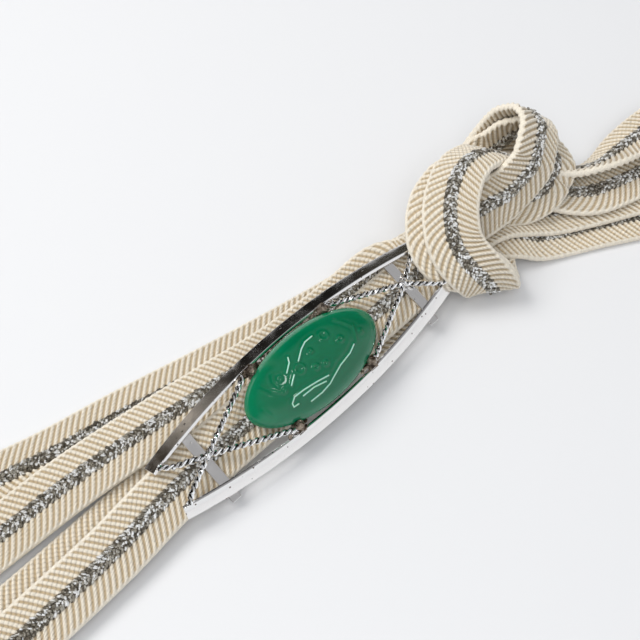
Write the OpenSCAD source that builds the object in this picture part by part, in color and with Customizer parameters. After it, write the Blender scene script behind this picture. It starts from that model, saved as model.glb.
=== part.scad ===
// Flat braided obi cord tied in a loop knot, threaded through an obidome:
// an open silver slide with two bowed side rails, crossed twisted wires
// and an oval green cabochon. The cord lies on a table at z = 0.

/* [Cord] */
// Width of the flat braided cord
cord_w = 8.8; // [8.4:0.1:9]
// Thickness of the cord
cord_t = 1.35; // [1.1:0.05:1.4]
// Distance between the two layers of the knot, centre to centre
layer = 1.5; // [1.45:0.05:1.6]

/* [Slide] */
// Half the length of each side rail
rail_half = 27.2; // [26:0.2:28]
// Gap between the rails' inner edges at their ends
rail_gap = 6.2; // [6:0.1:6.6]
// How far each rail bows outward at its middle
rail_bow = 3.25; // [3:0.05:3.5]
// Width of the rail strip
rail_w = 2.3; // [2:0.1:2.6]
// Thickness of the sheet metal
sheet = 0.45; // [0.4:0.05:0.6]
// Slope of the rail strip, down and outward
rail_slope = 41; // [35:1:45]
// Distance of each cord loop from the middle
loop_at = 20.5; // [20:0.1:21]
// Width of the cord loops' strip
loop_w = 1.7; // [1.4:0.1:2]
// Clear height inside a cord loop
loop_clear = 1.8; // [1.75:0.05:1.9]
// Diameter of each twisted wire
wire_d = 0.65; // [0.5:0.05:0.8]

/* [Stone] */
// Half the length of the cabochon
stone_a = 12.2; // [12:0.1:12.4]
// Half the width of the cabochon
stone_b = 5.9; // [5.7:0.1:6]
// Height of the cabochon above its flat back
stone_h = 4.2; // [3.6:0.1:4.8]

/* [Pose] */
// Height of the slide's middle above the table
slide_z = 6.65; // [6.6:0.05:6.8]
// Roll of the slide, far side up
slide_roll = 15.2; // [14:0.2:16]
// Pitch of the slide, knot end up
slide_pitch = 1.1; // [0.8:0.1:1.4]

/* [Hidden] */
lie = cord_t / 2;   // centre height of a strand that lies flat on the table

// Each row of a route: steps to the next row, centre x, y, z, and the direction
// that the cord's upper face looks. In the knot an eighth value says how far the
// inner layer slips sideways from under the outer one.

// Free end, through the slide's two loops
threaded = [
  [1, -62, -1.1, 2.6, 0, -0.16, 1, 0], [1, -50, -1, 2.8, 0, -0.2, 1, 0],
  [1, -38, -0.6, 3.2, 0, -0.24, 1, 0], [1, -29, 0.2, 3.7, 0, -0.26, 1, 0],
  [1, -20.5, 0.6, 4.1, 0, -0.27, 1, 0], [1, -7, 0.6, 4.35, 0, -0.27, 1, 0],
  [1, 7, 0.6, 4.6, 0, -0.27, 1, 0], [1, 20.5, 0.6, 4.9, -0.03, -0.27, 1, 0],
  [1, 24.5, 0.8, 5.1, -0.12, -0.2, 1, 0]];
// Up the near side of the knot, over its crest and down behind
loop_rows = [
  [1, 28, 1.1, 6.2, -0.25, -0.25, 0.9, 0], [1, 33, 1.2, 8.5, -0.3, -0.3, 0.85, 0],
  [1, 38.2, 0.6, 9.2, -0.3, -0.4, 0.85, 0], [1, 41.9, -0.2, 9.8, -0.33, -0.75, 0.6, 0],
  [1, 44.8, -0.4, 11.0, -0.3, -0.8, 0.55, 0], [2, 47.6, -0.3, 12.4, -0.2, -0.8, 0.55, 0],
  [2, 50.6, 1.4, 14.2, 0.15, -0.7, 0.7, 0], [2, 52.8, 3.2, 14.8, 0.45, -0.4, 0.75, 3],
  [1, 54.2, 6.0, 13.8, 0.65, 0, 0.7, 3], [2, 54.2, 8.4, 11.6, 0.65, 0.45, 0.45, 2.2],
  [1, 53.2, 9.9, 8.4, 0.6, 0.7, 0.2, 1.2], [2, 51.6, 10.4, 5.6, 0.5, 0.8, -0.1, 0.4]];
// Under the bundle, up its front and over its top
wrap_rows = [
  [1, 49.0, 9.6, 3.1, 0.35, 0.6, -0.6, 0], [2, 45.6, 7.0, 1.5, 0.1, 0.3, -0.9, 0],
  [1, 41, 2.4, lie, 0, 0, -1, 0], [1, 37, -2.2, lie, 0, 0, -1, 0],
  [1, 33.9, -6.0, 0.9, -0.15, -0.25, -0.95, 0], [1, 32.2, -8.0, 2.0, -0.5, -0.65, -0.5, 0],
  [1, 31.2, -8.4, 3.9, -0.6, -0.78, 0, 0], [1, 30.1, -7.3, 6.1, -0.55, -0.7, 0.4, 0],
  [1, 29.1, -5.4, 8.2, -0.5, -0.6, 0.62, -0.8], [1, 28.7, -3.1, 9.8, -0.45, -0.45, 0.77, -2],
  [1, 29.3, -0.7, 11.2, -0.42, -0.3, 0.86, -2.8], [2, 31.0, 1.7, 12.5, -0.33, -0.05, 0.94, -2.8],
  [1, 33.5, 3.9, 13.6, -0.22, 0.1, 0.97, -2.4], [2, 36.4, 5.5, 14.2, -0.05, 0.25, 0.95, -1.6],
  [1, 40.1, 6.4, 13.9, 0.25, 0.35, 0.88, -0.8]];
// Down through the knot's loop and out to the right
tail_rows = [
  [2, 43.6, 6.6, 12.2, 0.5, 0.35, 0.8, 0], [1, 46.6, 6.4, 9.6, 0.55, 0.35, 0.7, 0],
  [2, 49.6, 4.6, 7.4, 0.4, 0.45, 0.8, 0], [1, 53, 1.0, 6.1, 0.2, 0.6, 0.75, 0],
  [1, 56.1, -2.6, 5.2, 0.1, 0.75, 0.6, 0], [1, 59.2, -4.7, 5.0, 0, 0.8, 0.55, 0],
  [1, 63.2, -5.8, 5.0, 0, 0.7, 0.7, 0], [1, 68.4, -6.0, 4.9, 0, 0.4, 0.9, 0],
  [1, 76, -6.8, 4.9, 0, 0.1, 1, 0]];
// Standing on edge around the right-hand end
bend_right = [
  [1, 81, -7.4, 4.9, 0, 0.35, 0.94, 0], [1, 86, -8.2, 4.7, 0.1, 0.87, 0.5, 0],
  [1, 90.8, -11.6, 4.5, 0.6, 0.8, 0, 0], [1, 93, -17.2, 4.5, 1, 0, 0, 0],
  [1, 91, -23, 4.5, 0.6, -0.8, 0, 0], [1, 86.6, -26.4, 4.25, 0.1, -0.87, 0.45, 0],
  [1, 82, -27.2, 2.6, 0, -0.42, 0.9, 0], [1, 76.6, -24.9, lie, 0, 0, 1, 0]];
// Straight back under the knot and along the table, farthest from the slide
side_flat = [
  [70, -21, lie, 0], [62, -16, lie, 0], [54, -11.4, lie, 0], [50, -9.3, lie, 0],
  [45, -6.7, 1.5, -0.1], [42, -4.6, 3.1, -0.1], [38, -1.6, 3.7, 0], [34, 1.6, 3.6, 0],
  [30, 4.3, 2.2, 0], [26, 5.6, 0.8, 0], [20.5, 6.5, lie, 0], [12, 7.9, lie, 0],
  [0, 10.2, lie, 0], [-12, 12.8, lie, 0], [-25, 15.8, lie, 0], [-36, 18.0, lie, 0],
  [-48, 21.2, lie, 0], [-62, 24.4, lie, 0]];
// Standing on edge around the left-hand end
bend_left = [
  [1, -66.5, 25.3, 2.6, 0, 0.42, 0.9, 0], [1, -70.5, 25.1, 4.25, -0.1, 0.87, 0.45, 0],
  [1, -74.2, 23.3, 4.5, -0.6, 0.8, 0, 0], [1, -76, 19.1, 4.5, -1, 0, 0, 0],
  [1, -74.2, 14.9, 4.5, -0.6, -0.8, 0, 0], [1, -70.5, 13, 4.25, -0.1, -0.87, 0.45, 0],
  [1, -66.5, 12.9, 2.6, 0, -0.42, 0.9, 0]];
// Back beside the slide, resting on both neighbours, and into the knot
middle_rows = [
  [1, -62, 13.2, 1.2, 0, 0, 1, 0], [1, -48, 12.5, 2.1, 0, -0.04, 1, 0],
  [1, -36, 12, 2.3, 0, -0.07, 1, 0], [1, -25, 10.9, 2.3, 0, 0, 1, 0],
  [1, -12, 9.2, 2.2, 0, 0, 1, 0], [1, 0, 7.4, 2.2, 0, 0, 1, 0],
  [1, 12, 6.4, 2.9, 0, -0.03, 1, 0], [1, 20.5, 6.2, 3.6, 0, -0.08, 1, 0],
  [1, 24, 4, 4.2, -0.15, -0.15, 1, 0]];
// Inner layer up the near side of the knot, seen beyond the outer one
inner_rows = [
  [1, 28, 2.4, 5.1, -0.25, -0.2, 0.9, 0], [1, 33, 2.2, 7.1, -0.3, -0.25, 0.85, 0],
  [1, 38.2, 1.7, 7.8, -0.3, -0.35, 0.85, 0], [1, 42.4, -0.1, 7.7, -0.3, -0.6, 0.75, 0],
  [1, 45.8, -2, 7.2, -0.25, -0.6, 0.75, 0], [2, 49.1, -2.7, 7.6, -0.2, -0.6, 0.75, 0],
  [2, 52.8, -1.4, 9.5, 0.05, -0.6, 0.75, 0]];
// Inner layer's tail under the outer one
low_tail = [
  [1, 43.4, 6.4, 10.2, 0.55, 0.25, 0.8, 0], [1, 46.2, 5.4, 7.7, 0.5, 0.2, 0.85, 0],
  [1, 49.2, 1.6, 5.4, 0.3, 0.1, 0.95, 0], [1, 52.6, -3.6, 4.0, 0.1, 0, 1, 0],
  [1, 56.5, -7.4, 3.6, 0, 0, 1, 0], [1, 61, -9.2, 3.5, 0, 0, 1, 0],
  [1, 66, -10.6, 3.4, 0, 0, 1, 0]];
// Folded flat over its own end
fold_rows = [
  [1, 73, -12.6, 3.7, 0, 0, 1, 0], [1, 78, -14.3, 3.9, 0.2, 0, 1, 0],
  [1, 80.4, -15, 3.6, 0.8, 0, 0.5, 0], [1, 81, -15.2, 2.9, 1, 0, 0, 0],
  [1, 80, -15.4, 2.2, 0.6, 0, -0.8, 0], [1, 77, -16, 2.1, 0, 0, -1, 0]];
// Back under the knot to the other free end, under the slide
under_flat = [
  [72, -16.8, 2.1, 0], [64, -12.6, 2.1, 0], [56, -8.6, 2.1, 0], [50, -5.4, 2.3, 0],
  [46, -3, 3.3, 0], [42, -1, 4.7, 0], [38, 0.2, 5.2, 0], [34, 0.8, 5.2, -0.08],
  [31, 0.9, 4.7, -0.08], [28, 0.8, 3.5, -0.1], [24, 0.3, 2.1, -0.18], [20.5, 0.2, 1.5, -0.18],
  [12, 0, 1.0, -0.08], [5, 0.7, lie, 0], [0, 1.2, lie, 0], [-12, 2.3, lie, 0],
  [-25, 3.2, lie, 0], [-36, 3.3, lie, 0], [-48, 3, lie, 0], [-62, 2.9, lie, 0]];

// A flat strand's short rows: x, y, z and how its face leans along y
function lay(rows, up) = [for (r = rows) [1, r[0], r[1], r[2], 0, up * r[3], up, 0]];

function unit(v) = v / norm(v);
function spline(a, b, c, d, t) =
  0.5 * (2 * b + (c - a) * t + (2 * a - 5 * b + 4 * c - d) * t * t + (3 * b - a - 3 * c + d) * t * t * t);
function smooth(rows) = let (n = len(rows)) [
  for (i = [0 : n - 2]) let (
    a = i == 0 ? 2 * rows[0] - rows[1] : rows[i - 1],
    d = i == n - 2 ? 2 * rows[n - 1] - rows[n - 2] : rows[i + 2])
    for (k = [0 : rows[i][0] - 1]) spline(a, rows[i], rows[i + 1], d, k / rows[i][0]),
  rows[n - 1]];
function steps(rows) = len(rows) == 0 ? 0 : [for (r = rows) 1] * [for (r = rows) r[0]];
function spot(r) = [r[1], r[2], r[3]];
function face(r) = [r[4], r[5], r[6]];
function way(path, i) = unit(spot(path[min(i + 1, len(path) - 1)]) - spot(path[max(i - 1, 0)]));
function lean(path, i) = let (t = way(path, i), f = face(path[i])) unit(f - (f * t) * t);

// One layer down and slipped sideways
function under(path, i) = let (t = way(path, i), n = lean(path, i),
  p = spot(path[i]) - layer * n + path[i][7] * cross(t, n)) [1, p[0], p[1], p[2], n[0], n[1], n[2], 0];

// The whole cord, from the threaded free end to the other free end
first_rows = concat(threaded, loop_rows, wrap_rows, tail_rows, bend_right,
  lay(side_flat, 1), bend_left, middle_rows, inner_rows);
first_path = smooth(first_rows);
n_threaded = steps(threaded);
n_loop = n_threaded + steps(loop_rows);
n_wrap = n_loop + steps(wrap_rows);
n_tail = n_wrap + steps(tail_rows);
n_bend = n_tail + steps(bend_right);
n_side = n_bend + len(side_flat);
n_left = n_side + steps(bend_left);
n_middle = n_left + steps(middle_rows);
// The inner layer copies the outer one from the crest to the lip
crest = n_threaded + 11;
lip = n_wrap - 2;
copied = [for (i = [crest : lip]) under(first_path, i)];
n_inner = len(first_path) + n_loop - crest;
n_lip = len(first_path) + len(copied);
last_path = smooth(concat(low_tail, fold_rows, lay(under_flat, -1)));
path = concat(first_path, copied, last_path);
n_low = n_lip + steps(low_tail);
n_fold = n_low + steps(fold_rows);

// The braid's flat section with rounded selvedges, as parts of its width and thickness
section = [[-0.5, -0.25], [-0.46, -0.5], [0.46, -0.5], [0.5, -0.25], [0.5, 0.25], [0.46, 0.5], [-0.46, 0.5], [-0.5, 0.25]];
function ring(i) = let (t = way(path, i), n = lean(path, i), w = cross(t, n))
  [for (s = section) spot(path[i]) + s[0] * cord_w * w + s[1] * cord_t * n];

module strand(from, to) {
  m = len(section);
  n = to - from;
  polyhedron(
    points = [for (i = [from : to]) each ring(i)],
    faces = concat(
      [[for (j = [m - 1 : -1 : 0]) j]],
      [for (i = [0 : n - 1], j = [0 : m - 1]) let (a = i * m + j, b = i * m + (j + 1) % m) [a, b, b + m]],
      [for (i = [0 : n - 1], j = [0 : m - 1]) let (a = i * m + j, b = i * m + (j + 1) % m) [a, b + m, a + m]],
      [[for (j = [0 : m - 1]) n * m + j]]));
}

module cord_threaded() { color("wheat") strand(0, n_threaded); }
module cord_loop_outer() { color("wheat") strand(n_threaded, n_loop); }
module cord_wrap_outer() { color("wheat") strand(n_loop, n_wrap); }
module cord_tail_outer() { color("wheat") strand(n_wrap, n_tail); }
module cord_bend_right() { color("wheat") strand(n_tail, n_bend); }
module cord_side_strand() { color("wheat") strand(n_bend, n_side); }
module cord_bend_left() { color("wheat") strand(n_side, n_left); }
module cord_middle_strand() { color("wheat") strand(n_left, n_middle); }
module cord_loop_inner() { color("wheat") strand(n_middle, n_inner); }
module cord_wrap_inner() { color("wheat") strand(n_inner, n_lip); }
module cord_tail_inner() { color("wheat") strand(n_lip, n_low); }
module cord_fold_right() { color("wheat") strand(n_low, n_fold); }
module cord_under_strand() { color("wheat") strand(n_fold, len(path) - 1); }

// The slide in its own frame: x along it, z up, its rails' top edges at z = 0
rail_r = (rail_half * rail_half + rail_bow * rail_bow) / (2 * rail_bow);
rail_turn = 2 * asin(rail_half / rail_r);
rail_top = rail_gap / 2 + rail_bow;
loop_top = -0.9;
loop_low = loop_top - sheet - loop_clear;
loop_half = 5.9;
seat_half = 11.2;
seat_wide = 5.2;
seat_r = (seat_half * seat_half + seat_wide * seat_wide) / (2 * seat_wide);
stone_z = 0.2;
// The claws' place beside the stone
claw_x = 7.3;
claw_y = 5.4;

module in_place() {
  translate([0, 0, slide_z]) rotate([0, -slide_pitch, 0]) rotate([slide_roll, 0, 0]) children();
}

module rail() {
  translate([0, rail_top - rail_r, 0]) rotate([0, 0, 90 - rail_turn / 2])
    rotate_extrude(angle = rail_turn, $fn = 180)
      translate([rail_r, 0]) rotate([0, 0, -rail_slope]) translate([0, -sheet]) square([rail_w, sheet]);
}

module cord_loop() {
  translate([-loop_w / 2, -5.4, loop_top - sheet]) cube([loop_w, 10.8, sheet]);
  translate([-loop_w / 2, -loop_half - 0.2, loop_low - sheet]) cube([loop_w, 2 * loop_half + 0.4, sheet]);
  for (s = [-1, 1]) translate([-1.1, s * loop_half - 0.2, loop_low - sheet]) cube([2.2, 0.4, -1.5 - loop_low + sheet]);
  translate([-0.8, -loop_half - 1.3, loop_low + 0.3]) cube([1.6, 1.4, sheet]);
}

module wire(a, b) {
  d = b - a;
  translate([a[0], a[1], 0]) rotate([0, 90, atan2(d[1], d[0])]) rotate(22.5) cylinder(h = norm(d), d = wire_d * 1.04, $fn = 8);
}

module seat() {
  difference() {
    translate([0, 0, -0.8]) linear_extrude(0.9) intersection() {
      translate([0, seat_wide - seat_r]) circle(seat_r, $fn = 120);
      translate([0, seat_r - seat_wide]) circle(seat_r, $fn = 120);
    }
    translate([0, 0, -1]) linear_extrude(2) intersection() {
      translate([0, seat_wide - seat_r]) circle(seat_r - 1.4, $fn = 120);
      translate([0, seat_r - seat_wide]) circle(seat_r - 1.4, $fn = 120);
    }
  }
}

module openwork_slide() {
  color("silver") in_place() {
    for (s = [0, 1]) mirror([0, s, 0]) rail();
    for (s = [-1, 1]) translate([s * loop_at, 0, 0]) cord_loop();
    wire([-26.6, 3.45], [-19.6, 0.05]);
    wire([-20.3, 0.38], [-7.6, -5.6]);
    wire([-26.6, -3.45], [-19.6, 0.37]);
    wire([-20.3, 0.02], [-8.6, 5.6]);
    wire([26.4, 3.9], [19.6, 0.2]);
    wire([20.4, 0.6], [7.6, -5.7]);
    wire([26.4, -3.9], [19.6, 0.62]);
    wire([20.4, 0.22], [8, 5.8]);
    seat();
    for (sx = [-1, 1], sy = [-1, 1]) {
      translate([sx * claw_x - 0.7, sy * 4.9 - 1.35, -0.7]) cube([1.4, 2.7, 0.6]);
      translate([sx * claw_x, sy * claw_y, -0.5]) cylinder(h = 1.3, d = 0.7, $fn = 16);
      translate([sx * claw_x, sy * claw_y, 0.8]) sphere(d = 1.1, $fn = 24);
    }
  }
}

// Flat back and an elliptical dome
module cabochon() {
  color("seagreen") in_place() translate([0, 0, stone_z]) intersection() {
    scale([stone_a, stone_b, stone_h]) sphere(1, $fn = 48);
    translate([0, 0, 10]) cube([30, 30, 20], center = true);
  }
}

openwork_slide();
cabochon();
cord_threaded();
cord_loop_outer();
cord_wrap_outer();
cord_tail_outer();
cord_bend_right();
cord_side_strand();
cord_bend_left();
cord_middle_strand();
cord_loop_inner();
cord_wrap_inner();
cord_tail_inner();
cord_fold_right();
cord_under_strand();
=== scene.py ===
import math

import bmesh
import bpy
import numpy as np
from mathutils import Matrix, Vector


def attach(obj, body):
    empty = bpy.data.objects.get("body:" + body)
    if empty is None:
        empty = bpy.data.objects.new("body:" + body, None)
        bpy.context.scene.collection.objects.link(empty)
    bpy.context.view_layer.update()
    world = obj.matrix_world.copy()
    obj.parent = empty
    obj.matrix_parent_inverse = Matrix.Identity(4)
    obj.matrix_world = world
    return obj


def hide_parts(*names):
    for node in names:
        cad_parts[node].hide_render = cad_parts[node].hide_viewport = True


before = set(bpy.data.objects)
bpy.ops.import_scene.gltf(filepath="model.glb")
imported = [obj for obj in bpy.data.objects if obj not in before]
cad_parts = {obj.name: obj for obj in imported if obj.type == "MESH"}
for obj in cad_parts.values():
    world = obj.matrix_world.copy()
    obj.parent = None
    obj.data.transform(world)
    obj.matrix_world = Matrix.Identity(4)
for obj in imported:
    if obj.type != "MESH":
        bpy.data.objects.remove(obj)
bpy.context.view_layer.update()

# Camera, light and table. The camera looks down on the slide from the near left, as the photo
# does. A large soft lamp stands at the far left and a pale room fills the shadows. What shines
# mirrors a second room, made up and set for the photo's view: pale in front, grey above,
# and a far wall with lighter and darker parts.
MM = 0.001
SENSOR, PICTURE, FOCAL = 36.0, 640.0, 947.0  # sensor width in mm; picture width and focal length in pixels
turn, tilt, away = math.radians(43.5), math.radians(62.0), 151.0 * MM
look = Vector((math.sin(turn) * math.cos(tilt), math.cos(turn) * math.cos(tilt), -math.sin(tilt)))
camera = bpy.data.objects.new("camera", bpy.data.cameras.new("camera"))
camera.data.sensor_width = SENSOR
camera.data.lens = SENSOR * FOCAL / PICTURE
camera.data.clip_start, camera.data.clip_end = 0.005, 20.0
camera.location = Vector((8.8 * MM, 7.4 * MM, 0.0)) - away * look
camera.rotation_mode = "QUATERNION"
camera.rotation_quaternion = look.to_track_quat("-Z", "Y")
bpy.context.scene.collection.objects.link(camera)
bpy.context.scene.camera = camera
bpy.context.scene.view_settings.view_transform = "Standard"


def lamp(name, place, aim, size, watts, colour):
    data = bpy.data.lights.new(name, "AREA")
    data.shape, data.size, data.energy, data.color = "DISK", size, watts, colour
    lit = bpy.data.objects.new(name, data)
    lit.location = place
    lit.rotation_mode = "QUATERNION"
    lit.rotation_quaternion = (Vector(aim) - Vector(place)).to_track_quat("-Z", "Y")
    bpy.context.scene.collection.objects.link(lit)
    return lit


window = lamp("window", (-0.15, 0.33, 0.52), (0.01, 0.0, 0.0), 0.34, 2.3, (1.0, 0.985, 0.96))
ceiling = lamp("ceiling", (-0.25, -0.2, 0.6), (0.01, 0.0, 0.0), 0.5, 1.2, (0.97, 0.985, 1.0))
glint = lamp("glint", (-0.08, 0.05, 0.6), (0.0, 0.0, 0.0), 0.12, 0.35, (1.0, 1.0, 1.0))
glint.visible_diffuse = False
window.visible_glossy = ceiling.visible_glossy = False

world = bpy.data.worlds.new("pale_room")
bpy.context.scene.world = world
world.use_nodes = True
nodes, links = world.node_tree.nodes, world.node_tree.links
nodes.clear()
out = nodes.new("ShaderNodeOutputWorld")
room = nodes.new("ShaderNodeBackground")
room.inputs["Color"].default_value = (0.93, 0.955, 1.0, 1.0)
room.inputs["Strength"].default_value = 0.54
mirrored = nodes.new("ShaderNodeBackground")
mirrored.inputs["Strength"].default_value = 0.9
ray = nodes.new("ShaderNodeLightPath")
mix = nodes.new("ShaderNodeMixShader")
where = nodes.new("ShaderNodeTexCoord")
parts = nodes.new("ShaderNodeSeparateXYZ")
far_side = nodes.new("ShaderNodeMapRange")
far_side.inputs["From Min"].default_value, far_side.inputs["From Max"].default_value = -0.55, -0.1
height = nodes.new("ShaderNodeMapRange")
height.inputs["From Min"].default_value, height.inputs["From Max"].default_value = 0.55, 0.85
dark = nodes.new("ShaderNodeMath")
dark.operation = "MAXIMUM"
shade = nodes.new("ShaderNodeMix")
shade.data_type = "RGBA"
shade.inputs[6].default_value = (0.95, 0.97, 1.0, 1.0)
ceiling_tone = nodes.new("ShaderNodeMix")
ceiling_tone.data_type = "RGBA"
ceiling_tone.inputs[7].default_value = (0.42, 0.42, 0.43, 1.0)
links.new(where.outputs["Generated"], parts.inputs[0])
links.new(parts.outputs["Y"], far_side.inputs["Value"])
links.new(parts.outputs["Z"], height.inputs["Value"])
links.new(far_side.outputs[0], dark.inputs[0])
links.new(height.outputs[0], dark.inputs[1])
links.new(dark.outputs[0], shade.inputs[0])
to_right = nodes.new("ShaderNodeMapRange")
to_right.inputs["From Min"].default_value, to_right.inputs["From Max"].default_value = -0.1, 0.7
far_wall = nodes.new("ShaderNodeValToRGB")
WALL_TONES = [(0.05, 0.10), (0.10, 0.5), (0.14, 0.38), (0.18, 0.11), (0.25, 0.085), (0.275, 0.012),
              (0.67, 0.012)]  # place from left to right, brightness
WARM_G, WARM_B = 0.9, 0.78
for spot, level in WALL_TONES:
    far_wall.color_ramp.elements.new(spot).color = (level, level * WARM_G, level * WARM_B, 1.0)
leftmost, rightmost = far_wall.color_ramp.elements[0], far_wall.color_ramp.elements[-1]
leftmost.position, leftmost.color = 0.0, (0.05, 0.04, 0.03, 1.0)
rightmost.position, rightmost.color = 0.75, (0.055, 0.05, 0.04, 1.0)
links.new(parts.outputs["X"], to_right.inputs["Value"])
links.new(to_right.outputs[0], far_wall.inputs[0])
links.new(far_wall.outputs[0], ceiling_tone.inputs[6])
links.new(height.outputs[0], ceiling_tone.inputs[0])
links.new(ceiling_tone.outputs[2], shade.inputs[7])
links.new(shade.outputs[2], mirrored.inputs["Color"])
links.new(ray.outputs["Is Glossy Ray"], mix.inputs[0])
links.new(room.outputs[0], mix.inputs[1])
links.new(mirrored.outputs[0], mix.inputs[2])
links.new(mix.outputs[0], out.inputs[0])

bpy.ops.object.select_all(action="DESELECT")
bpy.ops.mesh.primitive_plane_add(size=3.0, location=(0, 0, 0))
table = bpy.context.object
table.name = "table"
table.data.transform(table.matrix_world)
table.matrix_world = Matrix.Identity(4)
paper = bpy.data.materials.new("paper")
paper.use_nodes = True
paper.node_tree.nodes["Principled BSDF"].inputs["Base Color"].default_value = (0.795, 0.795, 0.80, 1)
paper.node_tree.nodes["Principled BSDF"].inputs["Roughness"].default_value = 0.6
table.data.materials.append(paper)

# The obi cord's route, end to end, one flat braid of ivory silk 8.8 mm wide and 1.35 mm thick.
# Each row: steps to the next row, x, y, z in mm and the direction its upper face looks; in the
# knot an eighth value slips the inner layer sideways. The free end comes first.
CORD_W, CORD_T, LAYER = 8.8, 1.35, 1.5  # width, thickness, and from one layer's middle to the next
LIE = CORD_T / 2  # middle height of a strand that lies on the table
threaded = [
  [1, -62, -1.1, 2.6, 0, -0.16, 1, 0], [1, -50, -1, 2.8, 0, -0.2, 1, 0],
  [1, -38, -0.6, 3.2, 0, -0.24, 1, 0], [1, -29, 0.2, 3.7, 0, -0.26, 1, 0],
  [1, -20.5, 0.6, 4.1, 0, -0.27, 1, 0], [1, -7, 0.6, 4.35, 0, -0.27, 1, 0],
  [1, 7, 0.6, 4.6, 0, -0.27, 1, 0], [1, 20.5, 0.6, 4.9, -0.03, -0.27, 1, 0],
  [1, 24.5, 0.8, 5.1, -0.12, -0.2, 1, 0]]
loop_rows = [
  [1, 28, 1.1, 6.2, -0.25, -0.25, 0.9, 0], [1, 33, 1.2, 8.5, -0.3, -0.3, 0.85, 0],
  [1, 38.2, 0.6, 9.2, -0.3, -0.4, 0.85, 0], [1, 41.9, -0.2, 9.8, -0.33, -0.75, 0.6, 0],
  [1, 44.8, -0.4, 11.0, -0.3, -0.8, 0.55, 0], [2, 47.6, -0.3, 12.4, -0.2, -0.8, 0.55, 0],
  [2, 50.6, 1.4, 14.2, 0.15, -0.7, 0.7, 0], [2, 52.8, 3.2, 14.8, 0.45, -0.4, 0.75, 3],
  [1, 54.2, 6.0, 13.8, 0.65, 0, 0.7, 3], [2, 54.2, 8.4, 11.6, 0.65, 0.45, 0.45, 2.2],
  [1, 53.2, 9.9, 8.4, 0.6, 0.7, 0.2, 1.2], [2, 51.6, 10.4, 5.6, 0.5, 0.8, -0.1, 0.4]]
wrap_rows = [
  [1, 49.0, 9.6, 3.1, 0.35, 0.6, -0.6, 0], [2, 45.6, 7.0, 1.5, 0.1, 0.3, -0.9, 0],
  [1, 41, 2.4, LIE, 0, 0, -1, 0], [1, 37, -2.2, LIE, 0, 0, -1, 0],
  [1, 33.9, -6.0, 0.9, -0.15, -0.25, -0.95, 0], [1, 32.2, -8.0, 2.0, -0.5, -0.65, -0.5, 0],
  [1, 31.2, -8.4, 3.9, -0.6, -0.78, 0, 0], [1, 30.1, -7.3, 6.1, -0.55, -0.7, 0.4, 0],
  [1, 29.1, -5.4, 8.2, -0.5, -0.6, 0.62, -0.8], [1, 28.7, -3.1, 9.8, -0.45, -0.45, 0.77, -2],
  [1, 29.3, -0.7, 11.2, -0.42, -0.3, 0.86, -2.8], [2, 31.0, 1.7, 12.5, -0.33, -0.05, 0.94, -2.8],
  [1, 33.5, 3.9, 13.6, -0.22, 0.1, 0.97, -2.4], [2, 36.4, 5.5, 14.2, -0.05, 0.25, 0.95, -1.6],
  [1, 40.1, 6.4, 13.9, 0.25, 0.35, 0.88, -0.8]]
tail_rows = [
  [2, 43.6, 6.6, 12.2, 0.5, 0.35, 0.8, 0], [1, 46.6, 6.4, 9.6, 0.55, 0.35, 0.7, 0],
  [2, 49.6, 4.6, 7.4, 0.4, 0.45, 0.8, 0], [1, 53, 1.0, 6.1, 0.2, 0.6, 0.75, 0],
  [1, 56.1, -2.6, 5.2, 0.1, 0.75, 0.6, 0], [1, 59.2, -4.7, 5.0, 0, 0.8, 0.55, 0],
  [1, 63.2, -5.8, 5.0, 0, 0.7, 0.7, 0], [1, 68.4, -6.0, 4.9, 0, 0.4, 0.9, 0],
  [1, 76, -6.8, 4.9, 0, 0.1, 1, 0]]
bend_right = [
  [1, 81, -7.4, 4.9, 0, 0.35, 0.94, 0], [1, 86, -8.2, 4.7, 0.1, 0.87, 0.5, 0],
  [1, 90.8, -11.6, 4.5, 0.6, 0.8, 0, 0], [1, 93, -17.2, 4.5, 1, 0, 0, 0],
  [1, 91, -23, 4.5, 0.6, -0.8, 0, 0], [1, 86.6, -26.4, 4.25, 0.1, -0.87, 0.45, 0],
  [1, 82, -27.2, 2.6, 0, -0.42, 0.9, 0], [1, 76.6, -24.9, LIE, 0, 0, 1, 0]]
side_flat = [
  [70, -21, LIE, 0], [62, -16, LIE, 0], [54, -11.4, LIE, 0], [50, -9.3, LIE, 0],
  [45, -6.7, 1.5, -0.1], [42, -4.6, 3.1, -0.1], [38, -1.6, 3.7, 0], [34, 1.6, 3.6, 0],
  [30, 4.3, 2.2, 0], [26, 5.6, 0.8, 0], [20.5, 6.5, LIE, 0], [12, 7.9, LIE, 0],
  [0, 10.2, LIE, 0], [-12, 12.8, LIE, 0], [-25, 15.8, LIE, 0], [-36, 18.0, LIE, 0],
  [-48, 21.2, LIE, 0], [-62, 24.4, LIE, 0]]
bend_left = [
  [1, -66.5, 25.3, 2.6, 0, 0.42, 0.9, 0], [1, -70.5, 25.1, 4.25, -0.1, 0.87, 0.45, 0],
  [1, -74.2, 23.3, 4.5, -0.6, 0.8, 0, 0], [1, -76, 19.1, 4.5, -1, 0, 0, 0],
  [1, -74.2, 14.9, 4.5, -0.6, -0.8, 0, 0], [1, -70.5, 13, 4.25, -0.1, -0.87, 0.45, 0],
  [1, -66.5, 12.9, 2.6, 0, -0.42, 0.9, 0]]
middle_rows = [
  [1, -62, 13.2, 1.2, 0, 0, 1, 0], [1, -48, 12.5, 2.1, 0, -0.04, 1, 0],
  [1, -36, 12, 2.3, 0, -0.07, 1, 0], [1, -25, 10.9, 2.3, 0, 0, 1, 0],
  [1, -12, 9.2, 2.2, 0, 0, 1, 0], [1, 0, 7.4, 2.2, 0, 0, 1, 0],
  [1, 12, 6.4, 2.9, 0, -0.03, 1, 0], [1, 20.5, 6.2, 3.6, 0, -0.08, 1, 0],
  [1, 24, 4, 4.2, -0.15, -0.15, 1, 0]]
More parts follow.
